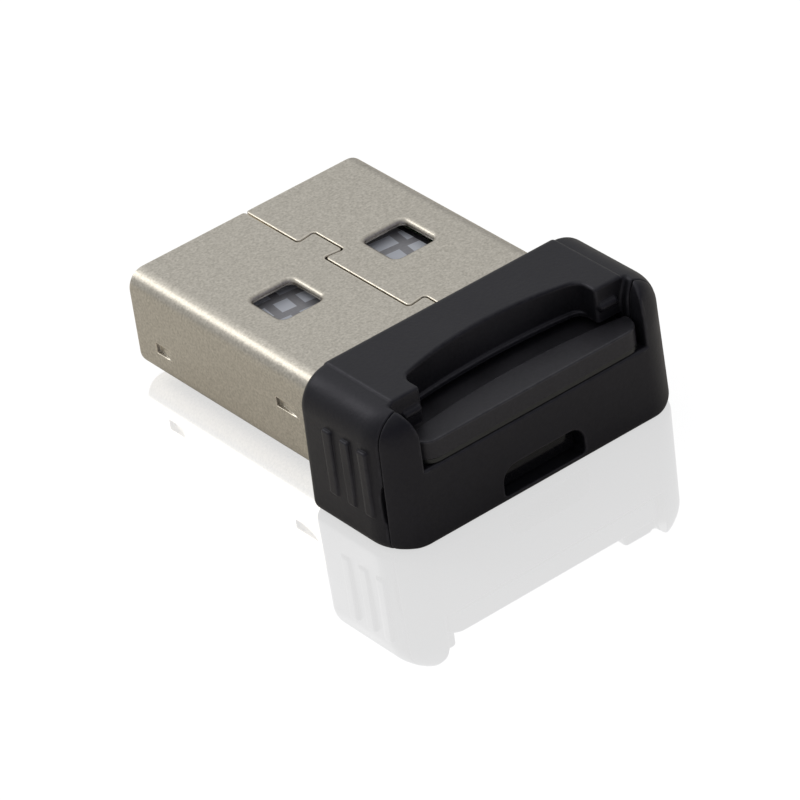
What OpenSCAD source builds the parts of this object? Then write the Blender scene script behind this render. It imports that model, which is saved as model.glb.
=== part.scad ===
// Miniature USB card reader with its memory card in place.
// Frame: +X right seen from the card end, +Y towards the plug tip, +Z up (seam side).
// Origin: centre of the overall box in X and Y, on the underside of the housing in Z.

/* [Plug] */
// Width of the plug shell, outside
plug_w = 12.0; // [11.9:0.05:12.1]
// Height of the plug shell, outside
plug_h = 4.5; // [4.4:0.05:4.6]
// Thickness of the folded shell sheet
sheet_t = 0.3; // [0.25:0.05:0.3]
// Length of plug standing out of the housing
plug_len = 12.65; // [12:0.05:13]
// Outside bend radius of the folded shell
bend_r = 0.8; // [0.6:0.05:1]

/* [Housing] */
// Width of the housing without its grip ribs
body_w = 14.3; // [14:0.1:15]
// Depth of the housing along the plug axis
body_len = 5.65; // [5.5:0.05:6]
// Height of the housing
body_h = 6.1; // [6:0.05:6.5]
// Height of the plug's middle above the underside
plug_mid_z = 2.58; // [2.56:0.01:2.62]
// Thickness of the front cap
cap_t = 0.95; // [0.9:0.05:1.1]
// Radius of the upper side edges
side_r = 1.4; // [1.2:0.1:1.5]
// Radius of the front upright edges
corner_r = 1.8; // [1.3:0.1:1.9]

/* [Card] */
// Width of the memory card
card_w = 11.0; // [10.9:0.1:11]
// Length of the memory card
card_len = 15.0; // [14.9:0.1:15]
// Thickness of the card behind its lip
card_t = 0.68; // [0.66:0.01:0.7]
// Thickness of the card at its pull lip
lip_t = 1.0; // [0.95:0.05:1]
// Height of the card's underside above the housing underside
card_z = 3.47; // [3.46:0.01:3.5]

/* [Hidden] */
$fn = 48;
eps = 0.01;

// overall places along Y
total_len = plug_len + body_len;
tip_y = total_len / 2;
front_y = -total_len / 2;
root_y = front_y + body_len;          // where the plug leaves the housing
parting_y = front_y + cap_t;          // joint between the cap and the rear housing

// shell inside and outside, in Z
shell_lo = plug_mid_z - plug_h / 2;
shell_hi = plug_mid_z + plug_h / 2;
inner_w = plug_w - 2 * sheet_t;
inner_hi = shell_hi - sheet_t;
shell_back = front_y + 3.05;          // the shell's inner end, behind the finger recess

// card recess in the housing
slot_w = card_w + 0.1;                // channel that the card slides in
ledge_z = card_z - 0.03;              // sill that the card slides over
mouth_w = card_w + 0.1;               // width between the two ears at the sill
step_d = 1.35;                        // depth of the full-width part of the recess
pocket_w = 8.7;                       // width of the bowed part of the recess
pocket_d = 3.02;                      // its depth in the middle, at the top
pocket_r = 13.5;                      // radius of its bowed wall
roof_d = 2.68;                        // depth of the edge of the card channel's roof
roof_r = 34;                          // radius of that edge
roof_top = 5.05;                      // height of the small ledge over the channel
nub_x = 4.9;                          // guide nubs on the stepped wall
nub_z = 5.22;
nub_len = 0.7;
nub_r = 0.14;

// room for the board behind the front cap
room_w = 9.8;                         // between the walls below the board
shelf_w = 12.1;                       // at the height of the board

// board and contacts
board_t = 0.6;
board_z = plug_mid_z;                 // underside of the board, where the plug contacts lie
board_top = board_z + board_t;
board_w = 10.7;
board_front = front_y + 1.3;
board_tip = tip_y - 0.8;
contact_t = 0.05;
contact_w = 1.0;
contact_y = tip_y - 8.8;              // inner end of the plug contacts

// contact springs under the card
spring_n = 8;
spring_pitch = 1.1;
spring_w = 0.4;
spring_t = 0.08;
block_y0 = -0.8;
block_len = 1.2;
foot_y = block_y0 - 0.8;
touch_y = 3.4;
spring_top = card_z - 0.05;

// card outline, from its lip at y = 0 to its inner end
card_front = front_y + 0.05;
lip_depth = 1.54;
lip_bow_r = 30;
step_x = 1.3;                         // how much narrower the inner end is
notch_x = 0.8;                        // depth of the notch before the narrow part
notch_y0 = 7.1;                       // where the notch's slanted start, floor and end lie behind the lip
notch_y1 = 7.9;
notch_y2 = 8.5;
step_y = 9.0;                         // where the narrow part begins
tail_r = 0.6;
substrate_t = 0.2;
label_t = 0.03;
label_y = 3.7;                        // front edge of the label behind the card's front

// grip ribs on each flank
rib_n = 3;
rib_pitch = 1.08;
rib_w = 0.52;
rib_out = 0.15;
rib_first = 1.4;                      // front edge of the foremost rib behind the front face
rib_lo = 1.45;
rib_hi = 4.45;
rib_r = 0.15;                         // rounding of a rib's outer edges

// spigots of the front cap
spigot_x = 3.6;
spigot_w = 2.3;
spigot_len = 0.3;
spigot_lo = 0.7;
spigot_hi = 2.4;

// seat of the lens behind the front cap
seat_w = 4.6;
seat_deep = 0.75;
seat_lo = 0.27;
seat_hi = 1.75;

// light opening in the front cap
light_w = 4.05;
light_lo = 0.32;
light_hi = 1.62;
light_r = 0.7;

// windows, tabs and lances of the shell
window_w = 2.05;
window_l = 2.15;
window_x = 2.85;
window_tip = 6.45;                    // window centre behind the tip
window_r = 0.3;
seam_gap = 0.05;
tongue_len = 1.2;                     // solder tongues in front of the shell's inner end
lance_deep = 0.2;
// pressed lances of a flank: inner end and tip end behind the tip,
// then lower and upper edge from the plug's middle
lances = [[2.34, 1.3, -0.99, -0.49], [10.95, 9.44, 0.1, 0.55]];
tab_w = 0.9;
tab_len = 1.68;
tab_tips = [3.53, 10.64];              // where each seam tab starts behind the tip
tab_flare = 0.15;

// rectangle with its own radius at each corner: [low low, high low, high high, low high]
module soft_rect(x0, y0, x1, y1, r) {
    corners = [[x0, y0, 1, 1], [x1, y0, -1, 1], [x1, y1, -1, -1], [x0, y1, 1, -1]];
    difference() {
        translate([x0, y0]) square([x1 - x0, y1 - y0]);
        for (i = [0:3]) {
            c = corners[i];
            if (r[i] > 0)
                difference() {
                    translate([c[0] - (c[2] > 0 ? 1 : r[i]), c[1] - (c[3] > 0 ? 1 : r[i])])
                        square(r[i] + 1);
                    translate([c[0] + c[2] * r[i], c[1] + c[3] * r[i]]) circle(r = r[i]);
                }
        }
    }
}

// box between two corners
module block(lo, hi) {
    translate(lo) cube(hi - lo);
}

// flat outline in X and Z carried along Y from y0 to y1
module along_y(y0, y1) {
    translate([0, y1, 0]) rotate([90, 0, 0]) linear_extrude(y1 - y0) children();
}

// flat outline in Y and Z carried along X from x0 to x1
module along_x(x0, x1) {
    translate([x0, 0, 0]) rotate([90, 0, 90]) linear_extrude(x1 - x0) children();
}

// closed strip of a given width along a path of flat points
function side_of(a, b) = let (d = b - a) [-d[1], d[0]] / norm(d);
function mitre(p, i) =
    i == 0 ? side_of(p[0], p[1])
    : i == len(p) - 1 ? side_of(p[i - 1], p[i])
    : let (m = side_of(p[i - 1], p[i]), n = side_of(p[i], p[i + 1])) (m + n) / (1 + m * n);
function strip(p, w) = concat(
    [for (i = [0:len(p) - 1]) p[i] + mitre(p, i) * w / 2],
    [for (i = [len(p) - 1:-1:0]) p[i] - mitre(p, i) * w / 2]);

// housing outside: three rounded outlines crossed
module housing_block() {
    half = body_w / 2;
    intersection() {
        along_y(front_y, root_y)
            soft_rect(-half, 0, half, body_h, [0.5, 0.5, side_r, side_r]);
        linear_extrude(body_h)
            soft_rect(-half, front_y, half, root_y, [corner_r, corner_r, 0.5, 0.5]);
        along_x(-half, half)
            soft_rect(front_y, 0, root_y, body_h, [0.35, 0.3, 0.4, 1.0]);
    }
}

// finger recess over the card, open to the top and the front
module recess() {
    block([-mouth_w / 2, front_y - 1, ledge_z], [mouth_w / 2, front_y + step_d, body_h + 1]);
    bowed_pocket(ledge_z, roof_top, roof_d, roof_r);
    bowed_pocket(roof_top - eps, body_h + 1, pocket_d, pocket_r);
}

// part of the recess between two heights, with a bowed wall
module bowed_pocket(z0, z1, depth, bow_r) {
    intersection() {
        block([-pocket_w / 2, front_y - 1, z0], [pocket_w / 2, front_y + 4, z1]);
        translate([0, front_y + depth - bow_r, z0]) cylinder(h = z1 - z0, r = bow_r, $fn = 128);
    }
}

module grip_ribs() {
    for (side = [-1, 1], i = [0:rib_n - 1])
        translate([side * (body_w / 2 - 0.05), front_y + rib_first + rib_w / 2 + i * rib_pitch, rib_lo])
            linear_extrude(rib_hi - rib_lo)
                soft_rect(-rib_out - 0.05, -rib_w / 2, rib_out + 0.05, rib_w / 2,
                          [rib_r, rib_r, rib_r, rib_r]);
}

module rear_housing() {
    color([0.10, 0.10, 0.105]) {
        difference() {
            union() {
                intersection() {
                    housing_block();
                    block([-20, parting_y, -1], [20, 20, 20]);
                }
                grip_ribs();
            }
            recess();
            // seat of the plug shell
            along_y(shell_back - 0.02, root_y + 1)
                soft_rect(-plug_w / 2 - 0.01, shell_lo - 0.01, plug_w / 2 + 0.01, shell_hi + 0.01,
                          [bend_r, bend_r, bend_r, bend_r]);
            // room under the card for the board and its components
            block([-room_w / 2, parting_y - 1, shell_lo + sheet_t],
                  [room_w / 2, shell_back + 0.5, ledge_z + 0.5]);
            block([-shelf_w / 2, parting_y - 1, board_z - 0.05],
                  [shelf_w / 2, shell_back + 0.5, board_top + 0.05]);
            // channel for the card
            block([-slot_w / 2, parting_y - 1, ledge_z], [slot_w / 2, shell_back + 0.5, inner_hi]);
            // seat of the lens
            block([-seat_w / 2, parting_y - 1, seat_lo], [seat_w / 2, parting_y + seat_deep, seat_hi]);
        }
        // guide nubs above the card, on the stepped wall
        for (side = [-1, 1])
            translate([side * nub_x, front_y + step_d, nub_z])
                rotate([0, 90, 0]) cylinder(h = nub_len, r = nub_r, center = true);
    }
}

module front_cap() {
    color([0.12, 0.12, 0.125])
        difference() {
            union() {
                intersection() {
                    housing_block();
                    block([-20, -20, -1], [20, parting_y, 20]);
                }
                // spigot that enters the rear housing on each side of the lens
                for (side = [-1, 1])
                    translate([side * spigot_x, 0, 0])
                        block([-spigot_w / 2, parting_y - eps, spigot_lo],
                              [spigot_w / 2, parting_y + spigot_len, spigot_hi]);
            }
            recess();
            along_y(front_y - 1, parting_y + 1)
                soft_rect(-light_w / 2, light_lo, light_w / 2, light_hi, [0.2, 0.2, light_r, light_r]);
        }
}

// joint line of the folded sheet, with a locking tab at each place in tab_tips
function tab_points(y) = [
    [0, y], [tab_w, y + tab_flare], [tab_w, y - tab_len - tab_flare], [0, y - tab_len]];
seam_path = concat(
    [[0, tip_y + 1]],
    tab_points(tip_y - tab_tips[0]),
    tab_points(tip_y - tab_tips[1]),
    [[0, shell_back - 1]]);

module plug_shell() {
    half = plug_w / 2;
    inner_r = bend_r - sheet_t;
    color([0.66, 0.64, 0.60])
        difference() {
            union() {
                along_y(shell_back, tip_y)
                    soft_rect(-half, shell_lo, half, shell_hi, [bend_r, bend_r, bend_r, bend_r]);
                // solder tongues beside the board
                for (side = [-1, 1])
                    translate([side * (half - sheet_t / 2), 0, 0])
                        block([-sheet_t / 2, shell_back - tongue_len, board_z + 0.1],
                              [sheet_t / 2, shell_back + eps, board_top - 0.1]);
            }
            along_y(shell_back - eps, tip_y + 1)
                soft_rect(-half + sheet_t, shell_lo + sheet_t, half - sheet_t, shell_hi - sheet_t,
                          [inner_r, inner_r, inner_r, inner_r]);
            // two windows above and two below
            for (side = [-1, 1])
                translate([side * window_x, tip_y - window_tip, shell_lo - 1])
                    linear_extrude(plug_h + 2)
                        soft_rect(-window_w / 2, -window_l / 2, window_w / 2, window_l / 2,
                                  [window_r, window_r, window_r, window_r]);
            // seam
            translate([0, 0, inner_hi - 0.2]) linear_extrude(1) polygon(strip(seam_path, seam_gap));
            // pressed lances in each flank
            for (side = [-1, 1], l = lances)
                lance(side, tip_y - l[0], tip_y - l[1], plug_mid_z + l[2], plug_mid_z + l[3]);
        }
}

// shallow pressed hollow in a flank, deepest at its tip end
module lance(side, y0, y1, z0, z1) {
    translate([0, 0, z0]) linear_extrude(z1 - z0)
        polygon([[side * (plug_w / 2 + 0.1), y0], [side * plug_w / 2, y0],
                 [side * (plug_w / 2 - lance_deep), y1], [side * (plug_w / 2 + 0.1), y1]]);
}

module board_carrier() {
    rail_in = board_w / 2 + 0.02;
    rail_out = inner_w / 2 - 0.02;
    rail_lo = board_z - 0.3;
    rail_hi = card_z - 0.04;
    nose_y = tip_y - 0.25;
    wall_y = root_y + 2.0;
    wall_t = 0.4;
    bend_relief = 0.55;
    color([0.09, 0.09, 0.10]) {
        difference() {
            union() {
                for (side = [-1, 1])
                    translate([side * (rail_in + rail_out) / 2, 0, 0])
                        block([-(rail_out - rail_in) / 2, shell_back + 0.05, rail_lo],
                              [(rail_out - rail_in) / 2, nose_y, rail_hi]);
                // nose across the mouth of the plug, behind the inner end of the card
                block([-rail_out, board_tip + 0.02, rail_lo], [rail_out, nose_y, rail_hi]);
                // rear wall of the plug cavity
                block([-rail_out, wall_y, shell_lo + sheet_t + 0.02],
                      [rail_out, wall_y + wall_t, board_z - 0.02]);
            }
            // clear of the inside bends of the shell
            for (side = [-1, 1])
                translate([side * rail_out, wall_y - 1, shell_lo + sheet_t])
                    rotate([-90, 0, 0]) cylinder(h = 3, r = bend_relief);
        }
    }
}

module main_board() {
    color([0.05, 0.25, 0.14])
        translate([0, 0, board_z]) linear_extrude(board_t)
            soft_rect(-board_w / 2, board_front, board_w / 2, board_tip, [0.3, 0.3, 0.5, 0.5]);
}

// row of contact fingers on the underside of the board
module fingers(places, from_tip) {
    for (x = places)
        translate([x, 0, board_z - contact_t])
            linear_extrude(contact_t)
                soft_rect(-contact_w / 2, contact_y, contact_w / 2, tip_y - from_tip, [0.1, 0.1, 0.1, 0.1]);
}

module power_contacts() {
    color([0.86, 0.68, 0.32]) fingers([-3.5, 3.5], 1.2);
}

module data_contacts() {
    color([0.86, 0.68, 0.32]) fingers([-1, 1], 2.2);
}

// flat component hanging under the board: centre, plan size, height
module under_board(at, size, tall) {
    translate([at[0] - size[0] / 2, at[1] - size[1] / 2, board_z - tall]) cube([size[0], size[1], tall]);
}

// plan sizes of the components, and their centres in X and in Y from the plug's root
chip_size = [4, 4];
chip_at = [-1.4, -0.6];
regulator_size = [1.6, 1.2];
regulator_at = [3.6, 1.0];
crystal_size = [1.6, 2.0];
crystal_at = [2.5, -1.2];
passive_size = [1.0, 0.5];
capacitor_at = [[-4.3, 1.0], [-4.3, -0.1], [-4.3, -1.2], [4.2, -0.8], [4.2, -1.8]];
led_size = [1.6, 0.8];
resistor_x = [-2.6, 1.6, 2.9];

module controller_chip() {
    color([0.13, 0.13, 0.14]) under_board([chip_at[0], root_y + chip_at[1]], chip_size, 0.85);
}

module voltage_regulator() {
    color([0.15, 0.15, 0.16]) under_board([regulator_at[0], root_y + regulator_at[1]], regulator_size, 0.6);
}

module crystal_can() {
    color([0.75, 0.74, 0.72]) under_board([crystal_at[0], root_y + crystal_at[1]], crystal_size, 0.5);
}

module capacitors() {
    color([0.62, 0.48, 0.35])
        for (at = capacitor_at) under_board([at[0], root_y + at[1]], passive_size, 0.5);
}

module resistors() {
    color([0.12, 0.12, 0.12])
        for (x = resistor_x) under_board([x, board_front + 0.45], passive_size, 0.32);
}

module status_led() {
    color([0.85, 0.88, 0.80]) under_board([0, board_front + 0.5], led_size, 0.6);
}

module light_lens() {
    color([0.30, 0.33, 0.36]) {
        block([-seat_w / 2 + 0.05, parting_y + 0.02, seat_lo + 0.03],
              [seat_w / 2 - 0.05, parting_y + seat_deep - 0.15, seat_hi - 0.05]);
        along_y(front_y + 0.65, parting_y + 0.03)
            soft_rect(-light_w / 2 + 0.05, light_lo + 0.05, light_w / 2 - 0.05, light_hi - 0.05,
                      [0.16, 0.16, light_r - 0.05, light_r - 0.05]);
    }
}

// side profile of one contact spring, in Y and Z
spring_line = [
    [foot_y, board_top + spring_t / 2], [block_y0 - 0.25, board_top + spring_t / 2],
    [block_y0 - 0.1, board_top + 0.1], [block_y0 + block_len + 0.2, board_top + 0.1],
    [touch_y - 0.4, spring_top - spring_t / 2 - 0.06], [touch_y, spring_top - spring_t / 2],
    [touch_y + 0.35, spring_top - spring_t / 2 - 0.06], [touch_y + 0.6, board_top + 0.08]];

module at_each_spring() {
    for (i = [0:spring_n - 1]) translate([(i - (spring_n - 1) / 2) * spring_pitch, 0, 0]) children();
}

module card_springs() {
    color([0.84, 0.68, 0.36])
        at_each_spring() along_x(-spring_w / 2, spring_w / 2) polygon(strip(spring_line, spring_t));
}

module spring_block() {
    width = spring_n * spring_pitch + 0.3;
    color([0.85, 0.84, 0.80])
        difference() {
            block([-width / 2, block_y0, board_top], [width / 2, block_y0 + block_len, board_top + 0.25]);
            at_each_spring()
                block([-spring_w / 2 - eps, block_y0 - 1, board_top - 1],
                      [spring_w / 2 + eps, block_y0 + block_len + 1, board_top + 0.15]);
        }
}

module solder_joints() {
    color([0.72, 0.72, 0.74])
        at_each_spring()
            along_x(-spring_w / 2, spring_w / 2)
                polygon([[foot_y - 0.25, board_top], [foot_y, board_top], [foot_y, board_top + spring_t]]);
}

// card outline in plan, lip at y = 0
module card_outline() {
    half = card_w / 2;
    inner = half - step_x;
    intersection() {
        soft_rect(-half, 0, half, card_len, [0.8, 0.8, 0, tail_r]);
        polygon([[-half, 0], [half, 0],
                 [half, notch_y0], [half - notch_x, notch_y1], [half - notch_x, notch_y2],
                 [inner, step_y], [inner, card_len - tail_r], [inner - tail_r, card_len],
                 [-half, card_len]]);
    }
}

// layer of the card between two heights above its underside
module card_layer(z0, z1) {
    translate([0, card_front, card_z + z0]) linear_extrude(z1 - z0) card_outline();
}

// chips inside the card: low corner in plan behind the lip, plan size and height
memory_die_at = [[-4.2, 2.2], [7.4, 6.4], 0.22];
controller_die_at = [[-3.4, 9.4], [2.5, 2.0], 0.15];

// block of a chip, grown on all free sides to cut its room in the card
module die_block(die, grow) {
    low = [die[0][0], card_front + die[0][1], card_z + substrate_t];
    block(low - [grow, grow, 0], low + [die[1][0] + grow, die[1][1] + grow, die[2] + grow]);
}

module card_body() {
    color([0.11, 0.11, 0.12])
        difference() {
            union() {
                card_layer(substrate_t, card_t);
                // pull lip with a bowed inner edge
                intersection() {
                    card_layer(card_t - eps, lip_t);
                    translate([0, card_front + lip_depth - lip_bow_r, 0])
                        cylinder(h = 20, r = lip_bow_r, $fn = 128);
                }
            }
            die_block(memory_die_at, eps);
            die_block(controller_die_at, eps);
        }
}

module card_substrate() {
    color([0.08, 0.10, 0.09]) card_layer(0.02, substrate_t);
}

module memory_die() {
    color([0.45, 0.46, 0.50]) die_block(memory_die_at, 0);
}

module card_controller_die() {
    color([0.40, 0.41, 0.46]) die_block(controller_die_at, 0);
}

// gold pads under the inner end of the card
module card_contacts() {
    color([0.88, 0.70, 0.34])
        for (i = [0:spring_n - 1])
            translate([(i - (spring_n - 1) / 2) * spring_pitch, card_front + card_len - 4.1, card_z])
                linear_extrude(0.02)
                    soft_rect(-0.4, 0, 0.4, 2.9, [0.1, 0.1, 0.1, 0.1]);
}

// thin printed film on the upper face, behind the lip
module card_label() {
    color([0.34, 0.34, 0.35])
        translate([0, card_front, card_z + card_t]) linear_extrude(label_t)
            soft_rect(-card_w / 2 + 0.5, label_y, card_w / 2 - step_x - 0.3, card_len - 0.9,
                      [0.3, 0.3, 0.3, 0.3]);
}

rear_housing();
front_cap();
plug_shell();
board_carrier();
main_board();
power_contacts();
data_contacts();
controller_chip();
voltage_regulator();
crystal_can();
capacitors();
resistors();
status_led();
light_lens();
spring_block();
card_springs();
solder_joints();
card_body();
card_substrate();
memory_die();
card_controller_die();
card_contacts();
card_label();
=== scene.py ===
"""Looks for a miniature USB card reader: a folded steel plug, a moulded housing and a memory card.

Moulded pieces are the zero level of a smooth field, meshed on a graded grid. Sheet pieces are cut flat,
given rounded edges and folded. Lengths are in millimetres until a mesh is made, which is in metres.
"""

import math

import bpy
import numpy as np
from mathutils import Matrix, Vector
from mathutils.geometry import delaunay_2d_cdt


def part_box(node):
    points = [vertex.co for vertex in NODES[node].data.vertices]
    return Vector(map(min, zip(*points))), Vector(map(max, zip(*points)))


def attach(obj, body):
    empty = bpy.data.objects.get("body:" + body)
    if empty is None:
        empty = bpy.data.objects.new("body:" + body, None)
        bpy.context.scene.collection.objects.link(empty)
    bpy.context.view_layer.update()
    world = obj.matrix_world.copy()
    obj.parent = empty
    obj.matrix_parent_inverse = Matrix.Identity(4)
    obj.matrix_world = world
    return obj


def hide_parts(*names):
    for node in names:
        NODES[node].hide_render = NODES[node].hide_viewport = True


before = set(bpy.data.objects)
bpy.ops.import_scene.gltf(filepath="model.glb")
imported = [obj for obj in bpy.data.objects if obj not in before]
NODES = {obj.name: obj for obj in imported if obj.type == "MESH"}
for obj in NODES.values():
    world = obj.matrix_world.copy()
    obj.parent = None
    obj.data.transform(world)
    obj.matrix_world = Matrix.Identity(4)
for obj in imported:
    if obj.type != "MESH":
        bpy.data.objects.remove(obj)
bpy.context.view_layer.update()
MM = 0.001


def corners_mm(node):
    """Lowest and highest corner of a CAD node, in millimetres."""
    lo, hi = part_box(node)
    return np.array(lo) / MM, np.array(hi) / MM


# ---------------------------------------------------------------- sizes, from the imported CAD parts

SHELL_LO, SHELL_HI = corners_mm("plug_shell")
REAR_LO, REAR_HI = corners_mm("rear_housing")
CAP_LO = corners_mm("front_cap")[0]
CARD_LO, CARD_HI = corners_mm("card_body")
CARD_BASE = corners_mm("card_substrate")[0][2]

TIP_Y = SHELL_HI[1]
FRONT_Y = CAP_LO[1]
ROOT_Y = REAR_HI[1]
PARTING_Y = REAR_LO[1]
BODY_H = REAR_HI[2]
RIB_OUT = 0.15
BODY_HALF = REAR_HI[0] - RIB_OUT
PLUG_HALF = SHELL_HI[0]
PLUG_Z0 = SHELL_LO[2]
PLUG_Z1 = SHELL_HI[2]
PLUG_HALF_H = (PLUG_Z1 - PLUG_Z0) / 2
PLUG_MIDDLE_Z = (PLUG_Z0 + PLUG_Z1) / 2
SHEET_T = 0.3
BEND_R = 0.8
SHELL_BACK = FRONT_Y + 3.05

# housing outside
SIDE_R = 1.4
CORNER_R = 1.8
FRONT_TOP_R = 1.0
FRONT_BASE_R = 0.35
ROOT_SIDE_R = 0.45
ROOT_TOP_R = 0.35
ROOT_BASE_R = 0.3
BASE_R = 0.45
DRAFT = 0.1                 # how much wider each flank is at the base
DRAFT_TOP_Z = 4.5
SHOULDER_X = 5.7            # outside this the top lies a little lower
SHOULDER_DROP = 0.075
RIM_SOFT = 0.07             # rounding of the edges at the parting line and the light opening

# finger recess and card channel
SILL_Z = CARD_BASE - 0.05
STEP_D = 1.35
STEP_R = 0.12
POCKET_HALF = 4.35
POCKET_D = 3.05
POCKET_R = 13.5
POCKET_CORNER = 0.5
ROOF_D = 2.68
ROOF_R = 34.0
ROOF_Z = 4.53
LEDGE_Z = 4.74              # small ledge across the pocket's wall
LEDGE_D = 0.13
MOUTH_HALF = 5.55
EAR_FLARE = 0.35            # how far each ear leans out between two heights
EAR_Z0 = 4.8
EAR_Z1 = 6.0
RECESS_SOFT = 0.16
CHANNEL_HALF = 5.52
NUB_X = 4.9
NUB_Z = 5.22
NUB_HALF = 0.28
NUB_R = 0.2

# grip ribs on the flanks, and the slit in the parting line of the left one
RIB_PITCH = 1.08
RIB_MIDDLE_Y = FRONT_Y + 1.66 + RIB_PITCH
RIB_HALF = 0.27
RIB_MIDDLE_Z = 2.95
RIB_HALF_H = 1.5
RIB_R = 0.12
SLIT_HALF = 0.13
SLIT_HALF_H = 0.85
SLIT_Z = 2.1
SLIT_DEEP = 0.35

# rooms behind the front cap: for the board's parts, for the board and for the lens
ROOM_HALF = 4.9
SHELF_HALF = 6.05
SHELF_Z = (2.53, 3.23)
ROOM_BACK = SHELL_BACK + 0.4
LENS_HALF = 2.3
LENS_DEEP = 0.75
LENS_Z = (0.27, 1.75)

# light opening and spigots of the front cap
LIGHT_HALF = 2.025
LIGHT_Z = (0.32, 1.62)
LIGHT_R = (0.2, 0.7)
LIGHT_SPLIT_Z = 1.0         # between the lower corners and the upper ones
SPIGOT_X = 3.6
SPIGOT_HALF = 1.15
SPIGOT_LEN = 0.3
SPIGOT_Z = (0.7, 2.4)


# ---------------------------------------------------------------- making meshes

def edge_mask(points, normals, face_lists, low=4.0, high=9.0):
    """How sharply the surface bends outwards at each point, per mm: 0 up to low and 1 from high on."""
    bend = np.zeros(len(points))
    for faces in face_lists:
        for i in range(faces.shape[1]):
            a, b = faces[:, i], faces[:, (i + 1) % faces.shape[1]]
            run = points[b] - points[a]
            turn = ((normals[b] - normals[a]) * run).sum(1) / np.maximum((run ** 2).sum(1), 1e-5)
            np.maximum.at(bend, a, turn)
            np.maximum.at(bend, b, turn)
    return np.clip((bend - low) / (high - low), 0, 1)


def new_object(name, points, faces, normals=None, smooth=True):
    """Mesh object from points in millimetres, an array of faces (or a list of them) and optional normals."""
    mesh = bpy.data.meshes.new(name)
    face_lists = faces if isinstance(faces, list) else [faces]
    sizes = np.concatenate([np.full(len(f), f.shape[1], np.int32) for f in face_lists])
    loops = np.concatenate([f.ravel() for f in face_lists]).astype(np.int32)
    starts = np.concatenate([[0], np.cumsum(sizes)[:-1]]).astype(np.int32)
    mesh.vertices.add(len(points))
    mesh.vertices.foreach_set("co", (np.asarray(points) * MM).astype(np.float32).ravel())
    mesh.loops.add(len(loops))
    mesh.loops.foreach_set("vertex_index", loops)
    mesh.polygons.add(len(sizes))
    mesh.polygons.foreach_set("loop_start", starts)
    mesh.update(calc_edges=True)
    mesh.validate()
    if smooth:
        mesh.polygons.foreach_set("use_smooth", np.ones(len(mesh.polygons), bool))
    if normals is not None and len(mesh.vertices) == len(normals):
        mesh.normals_split_custom_set_from_vertices(np.asarray(normals, float).tolist())
        # mask of crisp convex edges, which the materials lighten: rubbed edges and a painted edge highlight
        mask = mesh.attributes.new("edge", "FLOAT", "POINT")
        mask.data.foreach_set("value", edge_mask(points, normals, face_lists).astype(np.float32))
    obj = bpy.data.objects.new(name, mesh)
    bpy.context.scene.collection.objects.link(obj)
    return obj


def place(obj, body, slot, material, *replaced):
    """Gives a finished piece its body and material and hides the CAD nodes it stands for. The slot is not
    used.
    """
    obj.data.materials.append(material)
    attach(obj, body)
    if replaced:
        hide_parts(*replaced)
    return obj


# ---------------------------------------------------------------- moulded pieces: fields and their surface

def soft_max(a, b, k):
    """Larger of two fields, with the corner between them rounded over a width k."""
    h = np.maximum(k - np.abs(a - b), 0.0) / k
    return np.maximum(a, b) + h * h * k / 4


def soft_min(a, b, k):
    """Smaller of two fields, with the corner between them filled over a width k."""
    return -soft_max(-a, -b, k)


def sigmoid(t):
    """Rise from 0 to 1 round t = 0."""
    return 1 / (1 + np.exp(-t))


def smooth_step(t):
    """Rise from 0 to 1 that starts and ends level."""
    t = np.clip(t, 0, 1)
    return t * t * (3 - 2 * t)


def between(v, limits):
    """Field of the slab between two limits: negative inside it."""
    return np.maximum(limits[0] - v, v - limits[1])


def round_box(dx, dy, r):
    """Field of a flat box from its two signed side distances, with corner radius r."""
    return np.hypot(np.maximum(dx + r, 0), np.maximum(dy + r, 0)) + np.minimum(np.maximum(dx, dy) + r, 0) - r


def graded(lo, hi, coarse, fine, marks, reach):
    """Coordinates from lo to hi whose spacing is fine near each mark and coarse elsewhere."""
    x = np.linspace(lo, hi, 4001)
    gap = np.min(np.abs(x[:, None] - np.asarray(marks)[None, :]), axis=1)
    step = fine + (coarse - fine) * np.clip((gap - reach) / (3 * reach), 0, 1)
    count = np.concatenate([[0], np.cumsum((1 / step[1:] + 1 / step[:-1]) / 2 * np.diff(x))])
    n = int(math.ceil(count[-1])) + 1
    return np.interp(np.linspace(0, count[-1], n), count, x)


NUDGE = 0.004               # step of the central differences, in millimetres


def gradient(field, p):
    """Slope of a field at points p, by central differences."""
    out = np.empty_like(p)
    for axis in range(3):
        d = np.zeros(3)
        d[axis] = NUDGE
        out[:, axis] = (field(*(p + d).T) - field(*(p - d).T)) / (2 * NUDGE)
    return out


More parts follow.
